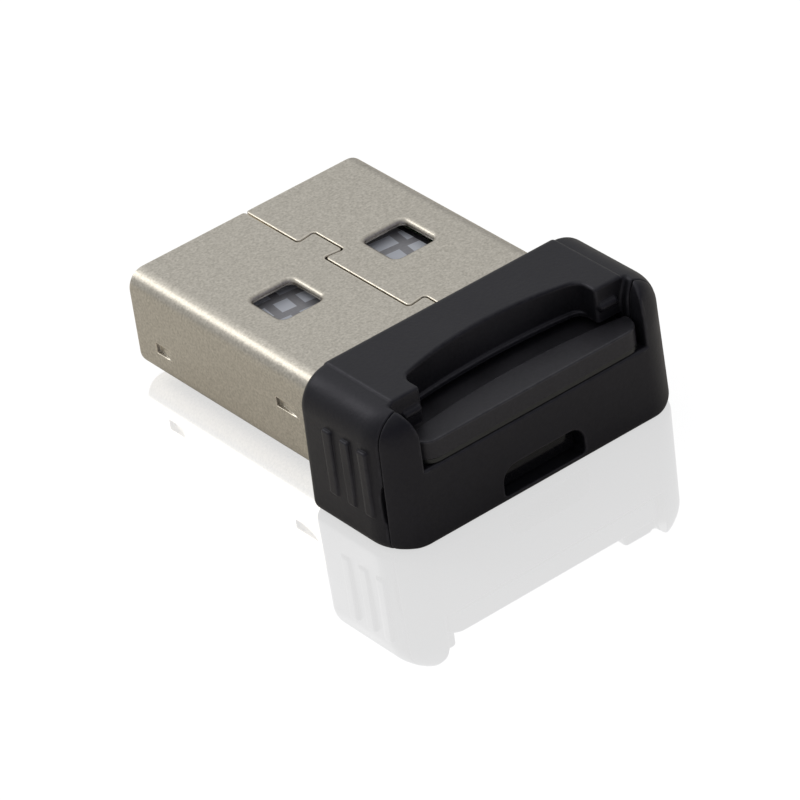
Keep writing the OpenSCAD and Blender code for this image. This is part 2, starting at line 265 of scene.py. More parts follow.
def zero_surface(field, xs, ys, zs):
    """Closed surface where a field is zero, on a graded grid.

    Each grid cell that the surface crosses holds one point, the mean of the crossings on its twelve edges.
    Each grid edge that it crosses joins the four cells around it with one face. The points are then moved
    along the field's slope until the field is zero there.
    """
    grid = field(xs[:, None, None], ys[None, :, None], zs[None, None, :])
    axes = (xs, ys, zs)
    shape = tuple(n - 1 for n in grid.shape)
    total = np.zeros(shape + (3,))
    count = np.zeros(shape)
    faces = []
    crossings = []
    for axis in range(3):
        others = [a for a in range(3) if a != axis]
        lo = [slice(None)] * 3
        hi = [slice(None)] * 3
        lo[axis], hi[axis] = slice(0, -1), slice(1, None)
        f0, f1 = grid[tuple(lo)], grid[tuple(hi)]
        crossed = (f0 < 0) != (f1 < 0)
        t = np.where(crossed, f0 / np.where(crossed, f0 - f1, 1), 0)
        start = axes[axis][:-1].reshape([-1 if a == axis else 1 for a in range(3)])
        length = np.diff(axes[axis]).reshape(start.shape)
        along = start + t * length
        crossings.append((axis, crossed, f0 < 0))
        for i in (0, 1):
            for j in (0, 1):
                cut = [slice(None)] * 3
                cut[others[0]] = slice(i, i + shape[others[0]])
                cut[others[1]] = slice(j, j + shape[others[1]])
                hit = crossed[tuple(cut)]
                total[..., axis] += np.where(hit, along[tuple(cut)], 0)
                for other, shift in ((others[0], i), (others[1], j)):
                    place_on = axes[other][shift:shift + shape[other]].reshape(
                        [-1 if a == other else 1 for a in range(3)])
                    total[..., other] += np.where(hit, place_on, 0)
                count += hit
    active = count > 0
    number = np.full(shape, -1, np.int64)
    number[active] = np.arange(int(active.sum()))
    points = total[active] / count[active][:, None]
    for axis, crossed, inside_first in crossings:
        others = [a for a in range(3) if a != axis]
        inner = [slice(None)] * 3
        inner[others[0]] = slice(1, -1)
        inner[others[1]] = slice(1, -1)
        index = np.argwhere(crossed[tuple(inner)])
        index[:, others[0]] += 1
        index[:, others[1]] += 1
        ring = []
        for di, dj in ((-1, -1), (0, -1), (0, 0), (-1, 0)):
            at = index.copy()
            at[:, others[0]] += di
            at[:, others[1]] += dj
            ring.append(number[at[:, 0], at[:, 1], at[:, 2]])
        quads = np.stack(ring, 1)
        outward = inside_first[index[:, 0], index[:, 1], index[:, 2]]
        if axis == 1:
            outward = ~outward
        quads[~outward] = quads[~outward][:, ::-1]
        faces.append(quads)
    for _ in range(3):
        slope = gradient(field, points)
        move = field(*points.T)[:, None] * slope / np.maximum((slope ** 2).sum(1), 0.2)[:, None]
        points = points - np.clip(move, -0.05, 0.05)
    slope = gradient(field, points)
    normals = slope / np.maximum(np.linalg.norm(slope, axis=1), 1e-9)[:, None]
    return points, np.concatenate(faces), normals


def rounding(depth, radius):
    """How far a face is drawn back, a given depth in from the end of its rounded edge."""
    d = np.clip(depth, 0, radius)
    return radius - np.sqrt(np.maximum(radius ** 2 - (radius - d) ** 2, 0))


def housing_field(x, y, z):
    """Outside of the housing: a rounded section that shrinks over the front and rear edge roundings.

    The flanks spread a little towards the base, and the top is lower outside its shoulders.
    """
    drop = SHOULDER_DROP * sigmoid((np.abs(x) - SHOULDER_X) / 0.02)
    from_front = y - FRONT_Y
    from_root = ROOT_Y - y
    draft = DRAFT * np.clip(1 - z / DRAFT_TOP_Z, 0, 1)
    half = BODY_HALF + draft - rounding(from_front, CORNER_R) - rounding(from_root, ROOT_SIDE_R)
    top = BODY_H - drop - rounding(from_front, FRONT_TOP_R) - rounding(from_root, ROOT_TOP_R)
    base = rounding(from_front, FRONT_BASE_R) + rounding(from_root, ROOT_BASE_R)
    upper = round_box(np.abs(x) - half, z - top, SIDE_R)
    lower = round_box(np.abs(x) - half, base - z, BASE_R)
    section = np.where(z > BODY_H / 2, upper, lower)
    return soft_max(section, np.maximum(FRONT_Y - y, y - ROOT_Y), 0.06)


def recess_field(x, y, z):
    """Finger recess: a full-width step at the front and a bowed pocket behind it, open upwards.

    The pocket's wall leans: it is deepest and most bowed at the top, and nearly straight at the card channel.
    """
    ear = MOUTH_HALF + EAR_FLARE * np.clip((z - EAR_Z0) / (EAR_Z1 - EAR_Z0), 0, 1) ** 2
    step = round_box(np.abs(x) - ear, y - FRONT_Y - STEP_D, STEP_R)
    rise = np.clip((z - ROOF_Z) / (BODY_H - ROOF_Z), 0, 1)
    ledge = LEDGE_D * sigmoid((z - LEDGE_Z) / 0.012)
    depth = ROOF_D + ledge + (POCKET_D - ROOF_D - LEDGE_D) * rise
    bow = y - FRONT_Y - depth + x * x / 2 * ((1 - rise) / ROOF_R + rise / POCKET_R)
    pocket = soft_max(np.abs(x) - POCKET_HALF, bow, POCKET_CORNER)
    return np.maximum(soft_min(step, pocket, 0.15), SILL_Z - z)


def slot_field(x, y, z):
    """Channel that the card slides in."""
    return np.maximum(np.abs(x) - CHANNEL_HALF, between(z, (SILL_Z, PLUG_Z1 - SHEET_T)))


def ribs_field(x, y, z):
    """Three upright grip ribs on each flank."""
    v = y - RIB_MIDDLE_Y
    from_nearest = v - RIB_PITCH * np.clip(np.round(v / RIB_PITCH), -1, 1)
    side = round_box(np.abs(from_nearest) - RIB_HALF, np.abs(z - RIB_MIDDLE_Z) - RIB_HALF_H, RIB_R)
    return soft_max(side, np.abs(np.abs(x) - BODY_HALF) - RIB_OUT, RIB_R)


def rear_housing_field(x, y, z):
    """Housing behind the parting plane, with the recess, the seat of the plug and the room inside."""
    f = soft_min(housing_field(x, y, z), ribs_field(x, y, z), 0.05)
    f = np.maximum(f, np.abs(x) - REAR_HI[0])
    f = soft_max(f, PARTING_Y + 0.01 - y, RIM_SOFT)
    slit = np.hypot((y - PARTING_Y - 0.02) / SLIT_HALF, (z - SLIT_Z) / SLIT_HALF_H) - 1
    f = soft_max(f, -np.maximum(slit * SLIT_HALF, x + BODY_HALF - SLIT_DEEP), 0.04)
    f = soft_max(f, -recess_field(x, y, z), RECESS_SOFT)
    across_nub = (y - FRONT_Y - STEP_D) ** 2 + (z - NUB_Z) ** 2
    for side in (-1, 1):
        along_nub = np.maximum(np.abs(x - side * NUB_X) - NUB_HALF, 0)
        f = soft_min(f, np.sqrt(across_nub + along_nub ** 2) - NUB_R, 0.06)
    seat = round_box(np.abs(x) - PLUG_HALF, np.abs(z - PLUG_MIDDLE_Z) - PLUG_HALF_H, BEND_R)
    f = soft_max(f, -np.maximum(seat - 0.01, SHELL_BACK - y), 0.03)
    f = soft_max(f, -slot_field(x, y, z), 0.05)
    room = np.maximum(np.abs(x) - ROOM_HALF, between(z, (PLUG_Z0 + SHEET_T, SILL_Z + 0.2)))
    shelf = np.maximum(np.abs(x) - SHELF_HALF, between(z, SHELF_Z))
    board_space = np.maximum(np.minimum(room, shelf), y - ROOM_BACK)
    lens_seat = np.maximum(np.maximum(np.abs(x) - LENS_HALF, y - PARTING_Y - LENS_DEEP), between(z, LENS_Z))
    return np.maximum(f, -np.minimum(board_space, lens_seat))


def front_cap_field(x, y, z):
    """Front cap: the slice before the parting plane, its light opening and two spigots behind."""
    f = soft_max(housing_field(x, y, z), y - PARTING_Y + 0.02, RIM_SOFT)
    f = soft_max(f, -recess_field(x, y, z), RECESS_SOFT)
    light = np.where(z > LIGHT_SPLIT_Z,
                     round_box(np.abs(x) - LIGHT_HALF, z - LIGHT_Z[1], LIGHT_R[1]),
                     round_box(np.abs(x) - LIGHT_HALF, LIGHT_Z[0] - z, LIGHT_R[0]))
    f = soft_max(f, -light, RIM_SOFT)
    spigot = np.maximum(np.abs(np.abs(x) - SPIGOT_X) - SPIGOT_HALF, between(z, SPIGOT_Z))
    spigot = np.maximum(spigot, between(y, (PARTING_Y - 0.2, PARTING_Y + SPIGOT_LEN)))
    return np.minimum(f, spigot)


def both_sides(*places):
    """Each place and its mirror image."""
    return [side * x for x in places for side in (-1, 1)]


def moulded(name, field, xs, ys, zs):
    """Piece whose surface is the zero level of a field."""
    points, faces, normals = zero_surface(field, xs, ys, zs)
    return new_object(name, points, faces, normals)


def make_rear_housing(material):
    """Rear housing, meshed finest at its edges."""
    xs = graded(-BODY_HALF - 0.3, BODY_HALF + 0.3, 0.16, 0.045,
                both_sides(4.4, 5.2, SHOULDER_X, 6.3, 6.9, 7.05), 0.14)
    ys = graded(PARTING_Y - 0.12, ROOT_Y + 0.12, 0.12, 0.035,
                [PARTING_Y, FRONT_Y + STEP_D, FRONT_Y + 2.5, FRONT_Y + 2.7, ROOT_Y - 0.1, SHELL_BACK], 0.1)
    zs = graded(-0.12, BODY_H + 0.12, 0.14, 0.03,
                [0.1, SILL_Z, ROOF_Z, LEDGE_Z, NUB_Z, BODY_H - 0.1,
                 RIB_MIDDLE_Z - RIB_HALF_H, RIB_MIDDLE_Z + RIB_HALF_H], 0.07)
    obj = moulded("housing_rear_moulding", rear_housing_field, xs, ys, zs)
    return place(obj, "reader", "housing", material, "rear_housing")


def make_front_cap(material):
    """Front cap, meshed finest at its edges and round the light opening."""
    xs = graded(-BODY_HALF - 0.2, BODY_HALF + 0.2, 0.14, 0.04,
                both_sides(1.9, 5.45, 6.0, 6.8), 0.12)
    ys = graded(FRONT_Y - 0.12, PARTING_Y + 0.45, 0.06, 0.03, [FRONT_Y, PARTING_Y], 0.08)
    zs = graded(-0.12, BODY_H + 0.12, 0.12, 0.035, [0.1, 0.32, 1.6, SILL_Z, 5.4, BODY_H], 0.1)
    obj = moulded("housing_front_cap", front_cap_field, xs, ys, zs)
    return place(obj, "reader", "housing", material, "front_cap")


# ---------------------------------------------------------------- sheet pieces: outlines, edges and folding

def round_corners(corners, radii, steps=6):
    """Closed outline: each corner of a polygon is replaced by an arc that is tangent to both its sides."""
    corners = np.asarray(corners, float)
    radii = np.broadcast_to(radii, len(corners))
    parts = []
    for i, (p, r) in enumerate(zip(corners, radii)):
        a = corners[i - 1] - p
        b = corners[(i + 1) % len(corners)] - p
        a, b = a / np.linalg.norm(a), b / np.linalg.norm(b)
        half = math.acos(np.clip(a @ b, -1, 1)) / 2
        if r <= 0 or half > 1.56:
            parts.append(p[None])
            continue
        centre = p + (a + b) / np.linalg.norm(a + b) * r / math.sin(half)
        start = p + a * r / math.tan(half) - centre
        turn = math.pi - 2 * half
        if a[0] * b[1] - a[1] * b[0] > 0:
            turn = -turn
        t = np.linspace(0, turn, steps + 1)
        parts.append(centre + np.stack([start[0] * np.cos(t) - start[1] * np.sin(t),
                                        start[0] * np.sin(t) + start[1] * np.cos(t)], 1))
    return np.concatenate(parts)


def rectangle(x0, y0, x1, y1, radius, steps=6):
    """Anticlockwise rectangle with rounded corners."""
    return round_corners([[x0, y0], [x1, y0], [x1, y1], [x0, y1]], radius, steps)


def divided(loop, longest, stops=()):
    """Closed outline with extra points, so that no side is longer than a limit. A side that crosses a stop
    along the first coordinate gets a point exactly there."""
    out = []
    for a, b in zip(loop, np.roll(loop, -1, axis=0)):
        t = np.linspace(0, 1, max(1, int(math.ceil(np.linalg.norm(b - a) / longest))) + 1)[:-1]
        if len(stops) and abs(b[0] - a[0]) > 1e-9:
            at = (np.asarray(stops) - a[0]) / (b[0] - a[0])
            at = at[(at > 1e-6) & (at < 1 - 1e-6)]
            if len(at):
                spare = np.abs(t[:, None] - at[None, :]).min(1) >= 0.3 * longest / np.linalg.norm(b - a)
                t = np.sort(np.concatenate([t[spare], at]))
            if t[0] > 1e-6:
                t = np.concatenate([[0], t])
        out.append(a + t[:, None] * (b - a))
    return np.concatenate(out)


def loop_normals(loop):
    """Unit direction to the left of a closed outline at each point, and its mitre length."""
    ahead = np.roll(loop, -1, axis=0) - loop
    ahead = ahead / np.linalg.norm(ahead, axis=1)[:, None]
    left = np.stack([-ahead[:, 1], ahead[:, 0]], 1)
    before = np.roll(left, 1, axis=0)
    mean = left + before
    mean = mean / np.linalg.norm(mean, axis=1)[:, None]
    return mean, 1 / np.maximum((mean * left).sum(1), 0.3)


def inside(points, loop):
    """Whether flat points lie inside a closed outline, by counting crossings to their right."""
    a, b = loop, np.roll(loop, -1, axis=0)
    y = points[:, 1][:, None]
    spans = (a[None, :, 1] > y) != (b[None, :, 1] > y)
    run = (b[:, 1] - a[:, 1])[None, :]
    share = (y - a[None, :, 1]) / np.where(np.abs(run) < 1e-12, 1e-12, run)
    x = a[None, :, 0] + share * (b - a)[None, :, 0]
    return (spans & (points[:, 0][:, None] < x)).sum(1) % 2 == 1


def sheet_solid(outer, holes, thick, edge_radii, lattice=None, arc=4):
    """Flat plate with holes and rounded edges, as points and normals in (across, along, depth) and faces.

    The outline runs anticlockwise and the holes clockwise, so material is always on the left. Each outline
    carries an edge profile with its own radius: a narrow flat margin, a quarter circle from the face, a
    straight wall, a quarter circle to the back, no larger than what is left of the thickness, and its margin.
    Each face has one triangulation of the region between the inset outlines.
    """
    turn = np.concatenate([[0.0], np.linspace(0, math.pi / 2, arc + 1)])
    margin = np.zeros(arc + 2)
    margin[0] = 0.03
    out_part = np.concatenate([np.sin(turn), np.sin(turn[::-1])])
    up_part = np.concatenate([np.cos(turn), -np.cos(turn[::-1])])
    rows = 2 * (arc + 2)
    points, normals, faces, first, rims = [], [], [], 0, []
    for loop, edge_r in zip([outer] + list(holes), edge_radii):
        back_r = min(edge_r, thick - edge_r)
        inset = np.concatenate([edge_r * (1 - np.sin(turn)) + margin,
                                back_r * (1 - np.sin(turn[::-1])) + margin[::-1]])
        depth = np.concatenate([edge_r * (1 - np.cos(turn)), thick - back_r * (1 - np.cos(turn[::-1]))])
        n, mitre = loop_normals(loop)
        ring = loop[None] + n[None] * (inset[:, None, None] * mitre[None, :, None])
        count = len(loop)
        each = (rows, count, 1)
        points.append(np.concatenate([ring, np.broadcast_to(depth[:, None, None], each)], 2).reshape(-1, 3))
        outwards = -n[None] * out_part[:, None, None]
        upwards = np.broadcast_to(up_part[:, None, None], each)
        normals.append(np.concatenate([outwards, upwards], 2).reshape(-1, 3))
        i = np.arange(count)
        j = (i + 1) % count
        for row in range(rows - 1):
            a, b = first + row * count, first + (row + 1) * count
            faces.append(np.stack([a + i, b + i, b + j, a + j], 1))
        rims.append((first, first + (rows - 1) * count, count, ring[0]))
        first += rows * count
    rim_points = np.concatenate([r[3] for r in rims])
    extra = np.zeros((0, 2)) if lattice is None else lattice
    if len(extra):
        keep = inside(extra, rims[0][3])
        for r in rims[1:]:
            keep &= ~inside(extra, r[3])
        gap = np.full(len(extra), 9.0)
        for k in range(0, len(rim_points), 256):
            chunk = rim_points[k:k + 256]
            gap = np.minimum(gap, np.linalg.norm(extra[:, None] - chunk[None], axis=2).min(1))
        extra = extra[keep & (gap > 0.04)]
    flat = np.concatenate([rim_points, extra])
    edges, at = [], 0
    for r in rims:
        k = np.arange(r[2])
        edges.append(np.stack([at + k, at + (k + 1) % r[2]], 1))
        at += r[2]
    result = delaunay_2d_cdt([Vector(p) for p in flat.tolist()], np.concatenate(edges).tolist(), [], 0, 1e-7)
    new_flat = np.array([tuple(v) for v in result[0]])
    tris = np.array(result[2])
    centre = new_flat[tris].mean(1)
    keep = inside(centre, rims[0][3])
    for r in rims[1:]:
        keep &= ~inside(centre, r[3])
    tris = tris[keep]
    source = np.array([ids[0] if ids else -1 for ids in result[3]])
    if (source[np.unique(tris)] < 0).any():
        raise ValueError("two outlines of a sheet cross")
    face_ids = np.concatenate([r[0] + np.arange(r[2]) for r in rims] + [first + np.arange(len(extra))])
    back_ids = np.concatenate([r[1] + np.arange(r[2]) for r in rims]
                              + [first + len(extra) + np.arange(len(extra))])
    for z, up in ((0.0, 1.0), (thick, -1.0)):
        points.append(np.column_stack([extra, np.full(len(extra), z)]))
        normals.append(np.tile([0.0, 0.0, up], (len(extra), 1)))
    top = face_ids[source[tris]]
    bottom = back_ids[source[tris]][:, ::-1]
    face_lists = [np.concatenate(faces), np.concatenate([top, bottom])]
    return np.concatenate(points), np.concatenate(normals), face_lists


def facing(points, faces, normals):
    """Faces turned where needed, so that they face the way their corners' normals point."""
    out = []
    for f in faces:
        p = points[f[:, :3]]
        n = np.cross(p[:, 1] - p[:, 0], p[:, 2] - p[:, 0])
        wrong = (n * normals[f].mean(1)).sum(1) < 0
        g = f.copy()
        g[wrong] = f[wrong][:, ::-1]
        out.append(g)
    return out


ROUND = math.pi / 2 * BEND_R
SIDE_STRAIGHT = 2 * (PLUG_HALF_H - BEND_R)
TOP_STRAIGHT = PLUG_HALF - BEND_R
OVERRUN = 2.0               # last straight runs on past the seam, for the tabs that cross it
# the shell's section from the middle of the top: length of each piece and whether it bends
TURNS = [(TOP_STRAIGHT, False), (ROUND, True), (SIDE_STRAIGHT, False), (ROUND, True),
         (2 * TOP_STRAIGHT, False), (ROUND, True), (SIDE_STRAIGHT, False), (ROUND, True),
         (TOP_STRAIGHT + OVERRUN, False)]
GIRTH = sum(length for length, _ in TURNS) - OVERRUN


def wrap(s):
    """Point and outward direction on the shell's outside, a distance s round it from the middle of the top.

    The line is walked piece by piece: straights keep their heading and bends turn it a quarter circle.
    """
    x, z = np.array(s, float), np.full(np.shape(s), PLUG_Z1)
    nx, nz = np.zeros(np.shape(s)), np.ones(np.shape(s))
    start, at, heading = 0.0, np.array([0.0, PLUG_Z1]), 0.0
    for length, bends in TURNS:
        d = np.array([math.cos(heading), math.sin(heading)])
        n = np.array([-d[1], d[0]])
        here = s >= start
        t = s - start
        if bends:
            a = np.clip(t, 0, length) / BEND_R
            centre = at - n * BEND_R
            across = np.cos(a)
            along = np.sin(a)
            x = np.where(here, centre[0] + BEND_R * (n[0] * across + d[0] * along), x)
            z = np.where(here, centre[1] + BEND_R * (n[1] * across + d[1] * along), z)
            nx = np.where(here, n[0] * across + d[0] * along, nx)
            nz = np.where(here, n[1] * across + d[1] * along, nz)
            at = centre + BEND_R * d
            heading -= math.pi / 2
        else:
            x = np.where(here, at[0] + t * d[0], x)
            z = np.where(here, at[1] + t * d[1], z)
            nx = np.where(here, n[0], nx)
            nz = np.where(here, n[1], nz)
            at = at + d * length
        start += length
    return x, z, nx, nz


SEAM_GAP = 0.03
TAB_W = 0.9
TAB_LEN = 1.68
TAB_FLARE = 0.13
TAB_TIPS = (3.53, 10.64)
# hollows pressed into each flank: inner end and tip end behind the tip, lower and upper edge
LANCES = ((2.34, 1.3, 1.59, 2.09), (10.95, 9.44, 2.68, 3.13))
LANCE_DEEP = 0.16
LANCE_WALL = 0.05
WINDOW_X = 2.85
WINDOW_TIP = 6.45           # middle of the windows behind the tip
WINDOW_HALF_W = 1.025
WINDOW_HALF_L = 1.075
WINDOW_R = 0.28
WINDOW_LIP = 0.22           # rounding of the punched edges
CUT_LIP = 0.06              # rounding of the sheet's other edges


def seam_side(shift):
    """Seam edge from the tip inwards, moved sideways by half the gap."""
    line = [[shift, TIP_Y]]
    for tab in TAB_TIPS:
        y = TIP_Y - tab
        line += [[shift, y + shift], [TAB_W + shift, y + TAB_FLARE + shift],
                 [TAB_W + shift, y - TAB_LEN - TAB_FLARE - shift], [shift, y - TAB_LEN - shift]]
    line.append([shift, SHELL_BACK])
    return np.array(line)


def lance_places():
    """Rectangle of each lance on the flat sheet: from s0 to s1 round the shell and from y0 to y1 along it."""
    places = []
    for inner, outer, z0, z1 in LANCES:
        s0, s1 = (TOP_STRAIGHT + ROUND + PLUG_Z1 - BEND_R - z for z in (z1, z0))
        for a, b in ((s0, s1), (GIRTH - s1, GIRTH - s0)):
            places.append((a, b, TIP_Y - inner, TIP_Y - outer))
    return places


def lance_depth(s, y):
    """How far the outer face is pressed in: a quarter sine along each lance, from nothing at its inner end to
    most at its tip end, times smooth steps over its walls."""
    depth = np.zeros(np.shape(s))
    for s0, s1, y0, y1 in lance_places():
        across = smooth_step((s - s0) / LANCE_WALL) * smooth_step((s1 - s) / LANCE_WALL)
        along = np.sin(math.pi / 2 * np.clip((y - y0) / (y1 - y0), 0, 1))
        along = along * smooth_step((y1 - y) / LANCE_WALL)
        depth += LANCE_DEEP * across * along
    return depth


def lance_lattice():
    """Points on the flat sheet that follow the walls and the floor of each lance."""
    wall = np.concatenate([[-1.6, -0.7], np.linspace(-0.2, 1.2, 8)]) * LANCE_WALL
    points = []
    for s0, s1, y0, y1 in lance_places():
        floor = np.linspace(s0 + 2 * LANCE_WALL, s1 - 2 * LANCE_WALL, 5)
        across = np.concatenate([s0 + wall, floor, s1 - wall])
        along = np.concatenate([np.linspace(y0 - 2 * LANCE_WALL, y1 - 2 * LANCE_WALL, 15), y1 - wall])
        points.append(np.stack(np.meshgrid(across, along), -1).reshape(-1, 2))
    return np.concatenate(points)


def make_plug_shell(material):
    """Plug shell: one sheet cut flat with its windows, tabs and lances, then folded round to the seam.

    A lance presses the outer face in and leaves the back flat, so its normals tilt by the slope of its depth.
    """
    right = seam_side(SEAM_GAP)
    left = seam_side(-SEAM_GAP)
    left[:, 0] += GIRTH
    tab_r = [0.15] + [0.17, 0.15, 0.15, 0.17] * len(TAB_TIPS) + [0.15]
    outline = round_corners(np.concatenate([right, left[::-1]]), tab_r + tab_r[::-1], 5)
    bends = []
    start = 0.0
    for length, bent in TURNS[:-1]:
        bends += list(np.linspace(start, start + length, 13 if bent else 2))
        start += length
    bends = np.unique(np.round(bends, 6))
    outline = divided(outline, 0.6, bends)
    holes = []
    middle_y = TIP_Y - WINDOW_TIP
    for centre in (WINDOW_X, GIRTH - WINDOW_X, GIRTH / 2 - WINDOW_X, GIRTH / 2 + WINDOW_X):
        box = rectangle(centre - WINDOW_HALF_W, middle_y - WINDOW_HALF_L,
                        centre + WINDOW_HALF_W, middle_y + WINDOW_HALF_L, WINDOW_R, 7)
        holes.append(divided(box[::-1], 0.4))
    rows = np.linspace(SHELL_BACK + 0.3, TIP_Y - 0.3, 40)
    lattice = np.stack(np.meshgrid(bends[(bends > 0.1) & (bends < GIRTH - 0.1)], rows), -1).reshape(-1, 2)
    lattice = np.concatenate([lattice, lance_lattice()])
    radii = [CUT_LIP] + [WINDOW_LIP] * len(holes)
    points, normals, faces = sheet_solid(outline, holes, SHEET_T, radii, lattice)
    s, y, depth = points.T
    outer = np.maximum(normals[:, 2], 0) / (2 * NUDGE)
    normals[:, 0] += outer * (lance_depth(s + NUDGE, y) - lance_depth(s - NUDGE, y))
    normals[:, 1] += outer * (lance_depth(s, y + NUDGE) - lance_depth(s, y - NUDGE))
    normals /= np.linalg.norm(normals, axis=1)[:, None]
    depth = depth + lance_depth(s, y) * (1 - depth / SHEET_T)
    x, z, nx, nz = wrap(s)
    solid = np.column_stack([x - nx * depth, y, z - nz * depth])
    n = np.column_stack([normals[:, 0] * nz + normals[:, 2] * nx, normals[:, 1],
                         normals[:, 2] * nz - normals[:, 0] * nx])
    obj = new_object("plug_shell_sheet", solid, facing(solid, faces, n), n)
    return place(obj, "reader", "shell", material, "plug_shell")


# ---------------------------------------------------------------- memory card

CARD_HALF = 5.5
CARD_LEN = 15.0
CARD_T = 0.68
LIP_RISE = 0.32
LIP_DEPTH = 1.54
LIP_R = 30.0
LEAD_R = 0.8                # corners at the lip
TAIL_R = 0.6                # corners at the inner end
STEP_X = 1.3                # how much narrower the inner end is
STEP_Y0 = 8.3               # where the card starts to narrow behind its lip
STEP_RUN = 0.7
NOTCH_X = 4.7               # floor of the notch
NOTCH_Y = 8.1
NOTCH_HALF = 0.55
NOTCH_FLARE = 0.4


def card_plan_field(x, y):
    """Card outline: straight on the left, narrower past a flared notch on the right."""
    v = y - CARD_LO[1]
    right = CARD_HALF - STEP_X * np.clip((v - STEP_Y0) / STEP_RUN, 0, 1) ** 0.8
    flare = NOTCH_FLARE * np.maximum(x - NOTCH_X, 0)
    notch = np.maximum(np.abs(v - NOTCH_Y) - NOTCH_HALF - flare, NOTCH_X - x)
    body = np.maximum(np.abs(v - CARD_LEN / 2) - CARD_LEN / 2, np.abs(x) - CARD_HALF)
    lead = round_box(np.abs(x) - CARD_HALF, -v, LEAD_R)
    tail = round_box(np.abs(x + STEP_X / 2) - (CARD_HALF - STEP_X / 2), v - CARD_LEN, TAIL_R)
    inner_end = np.where(v > NOTCH_Y + 0.5, np.maximum(tail, x - right), body)
    f = np.where(v < 4, np.maximum(lead, -v), np.maximum(body, inner_end))
    return soft_max(f, -notch, 0.15)


def card_field(x, y, z):
    """Card moulding: a thin plate whose front end rises to the pull lip behind a bowed step."""
    v = y - CARD_LO[1]
    bow = np.hypot(x, v - LIP_DEPTH + LIP_R) - LIP_R
    top = CARD_BASE + CARD_T + LIP_RISE * smooth_step(0.5 - bow / 0.07)
    f = soft_max(card_plan_field(x, y), z - top, 0.09)
    return np.maximum(f, CARD_LO[2] - z)


def make_card_body(material):
    """Card moulding, meshed finest at the lip and the notch."""
    xs = graded(-CARD_HALF - 0.2, CARD_HALF + 0.2, 0.2, 0.05, [-CARD_HALF, 4.25, NOTCH_X, CARD_HALF], 0.12)
    ys = graded(CARD_LO[1] - 0.15, CARD_HI[1] + 0.15, 0.2, 0.04,
                [CARD_LO[1] + v for v in (0, 1.1, 1.4, 1.75, 7.9)] + [CARD_HI[1]], 0.15)
    zs = graded(CARD_LO[2] - 0.1, CARD_HI[2] + 0.1, 0.08, 0.025,
                [CARD_LO[2], CARD_BASE + CARD_T, CARD_HI[2]], 0.05)
    obj = moulded("card_moulding", card_field, xs, ys, zs)
    return place(obj, "card", "card", material, "card_body")


# ---------------------------------------------------------------- materials

# inputs of a colour Mix node, which have no names of their own
FACTOR, BELOW, ABOVE = 0, 6, 7


def link(tree, a, b):
    """Join an output to an input."""
    tree.links.new(a, b)


def node(tree, kind, **values):
    """Shader node with its properties and inputs set by name."""
    n = tree.nodes.new(kind)
    for key, value in values.items():
        if hasattr(n, key) and key not in n.inputs:
            setattr(n, key, value)
        else:
            n.inputs[key.replace("_", " ")].default_value = value
    return n


def new_group(name, inputs, outputs):
    """Node group with float inputs and their usual values, and float outputs: the tree and its two ends."""
    tree = bpy.data.node_groups.new(name, "ShaderNodeTree")
    for socket, usual in inputs.items():
        made = tree.interface.new_socket(socket, in_out="INPUT", socket_type="NodeSocketFloat")
        made.default_value = usual
    for socket in outputs:
        tree.interface.new_socket(socket, in_out="OUTPUT", socket_type="NodeSocketFloat")
    return tree, tree.nodes.new("NodeGroupInput"), tree.nodes.new("NodeGroupOutput")


def shared(tree, group, **values):
    """Shared effect placed in a material with its own values."""
    n = tree.nodes.new("ShaderNodeGroup")
    n.node_tree = group
    for key, value in values.items():
        n.inputs[key.replace("_", " ")].default_value = value
    return n


def group_grain():
    """Shared effect: fine moulded or blasted grain, and the soft blotches that lie under it."""
    tree, enter, leave = new_group("surface_grain", {"Scale": 9000.0, "Blotch Scale": 300.0},
                                   ("Height", "Blotch", "Speck"))
    coords = tree.nodes.new("ShaderNodeTexCoord")
    fine = node(tree, "ShaderNodeTexNoise", Detail=3.0, Roughness=0.6)
    cells = node(tree, "ShaderNodeTexVoronoi", feature="SMOOTH_F1", Smoothness=0.7)
    wide = node(tree, "ShaderNodeTexNoise", Detail=4.0, Roughness=0.55)
    speck = node(tree, "ShaderNodeTexNoise", Detail=2.0, Roughness=0.5)
    coarser = node(tree, "ShaderNodeMath", operation="MULTIPLY")
    coarser.inputs[1].default_value = 0.55
    blend = node(tree, "ShaderNodeMix", data_type="FLOAT")
    blend.inputs[0].default_value = 0.45
    for n in (fine, cells, wide, speck):
        link(tree, coords.outputs["Object"], n.inputs["Vector"])
    link(tree, enter.outputs["Scale"], fine.inputs["Scale"])
    link(tree, enter.outputs["Scale"], coarser.inputs[0])
    for n in (cells, speck):
        link(tree, coarser.outputs[0], n.inputs["Scale"])
    link(tree, enter.outputs["Blotch Scale"], wide.inputs["Scale"])
    link(tree, fine.outputs["Fac"], blend.inputs[2])
    link(tree, cells.outputs["Distance"], blend.inputs[3])
    link(tree, blend.outputs[0], leave.inputs["Height"])
    link(tree, wide.outputs["Fac"], leave.inputs["Blotch"])
    link(tree, speck.outputs["Fac"], leave.inputs["Speck"])
    return tree


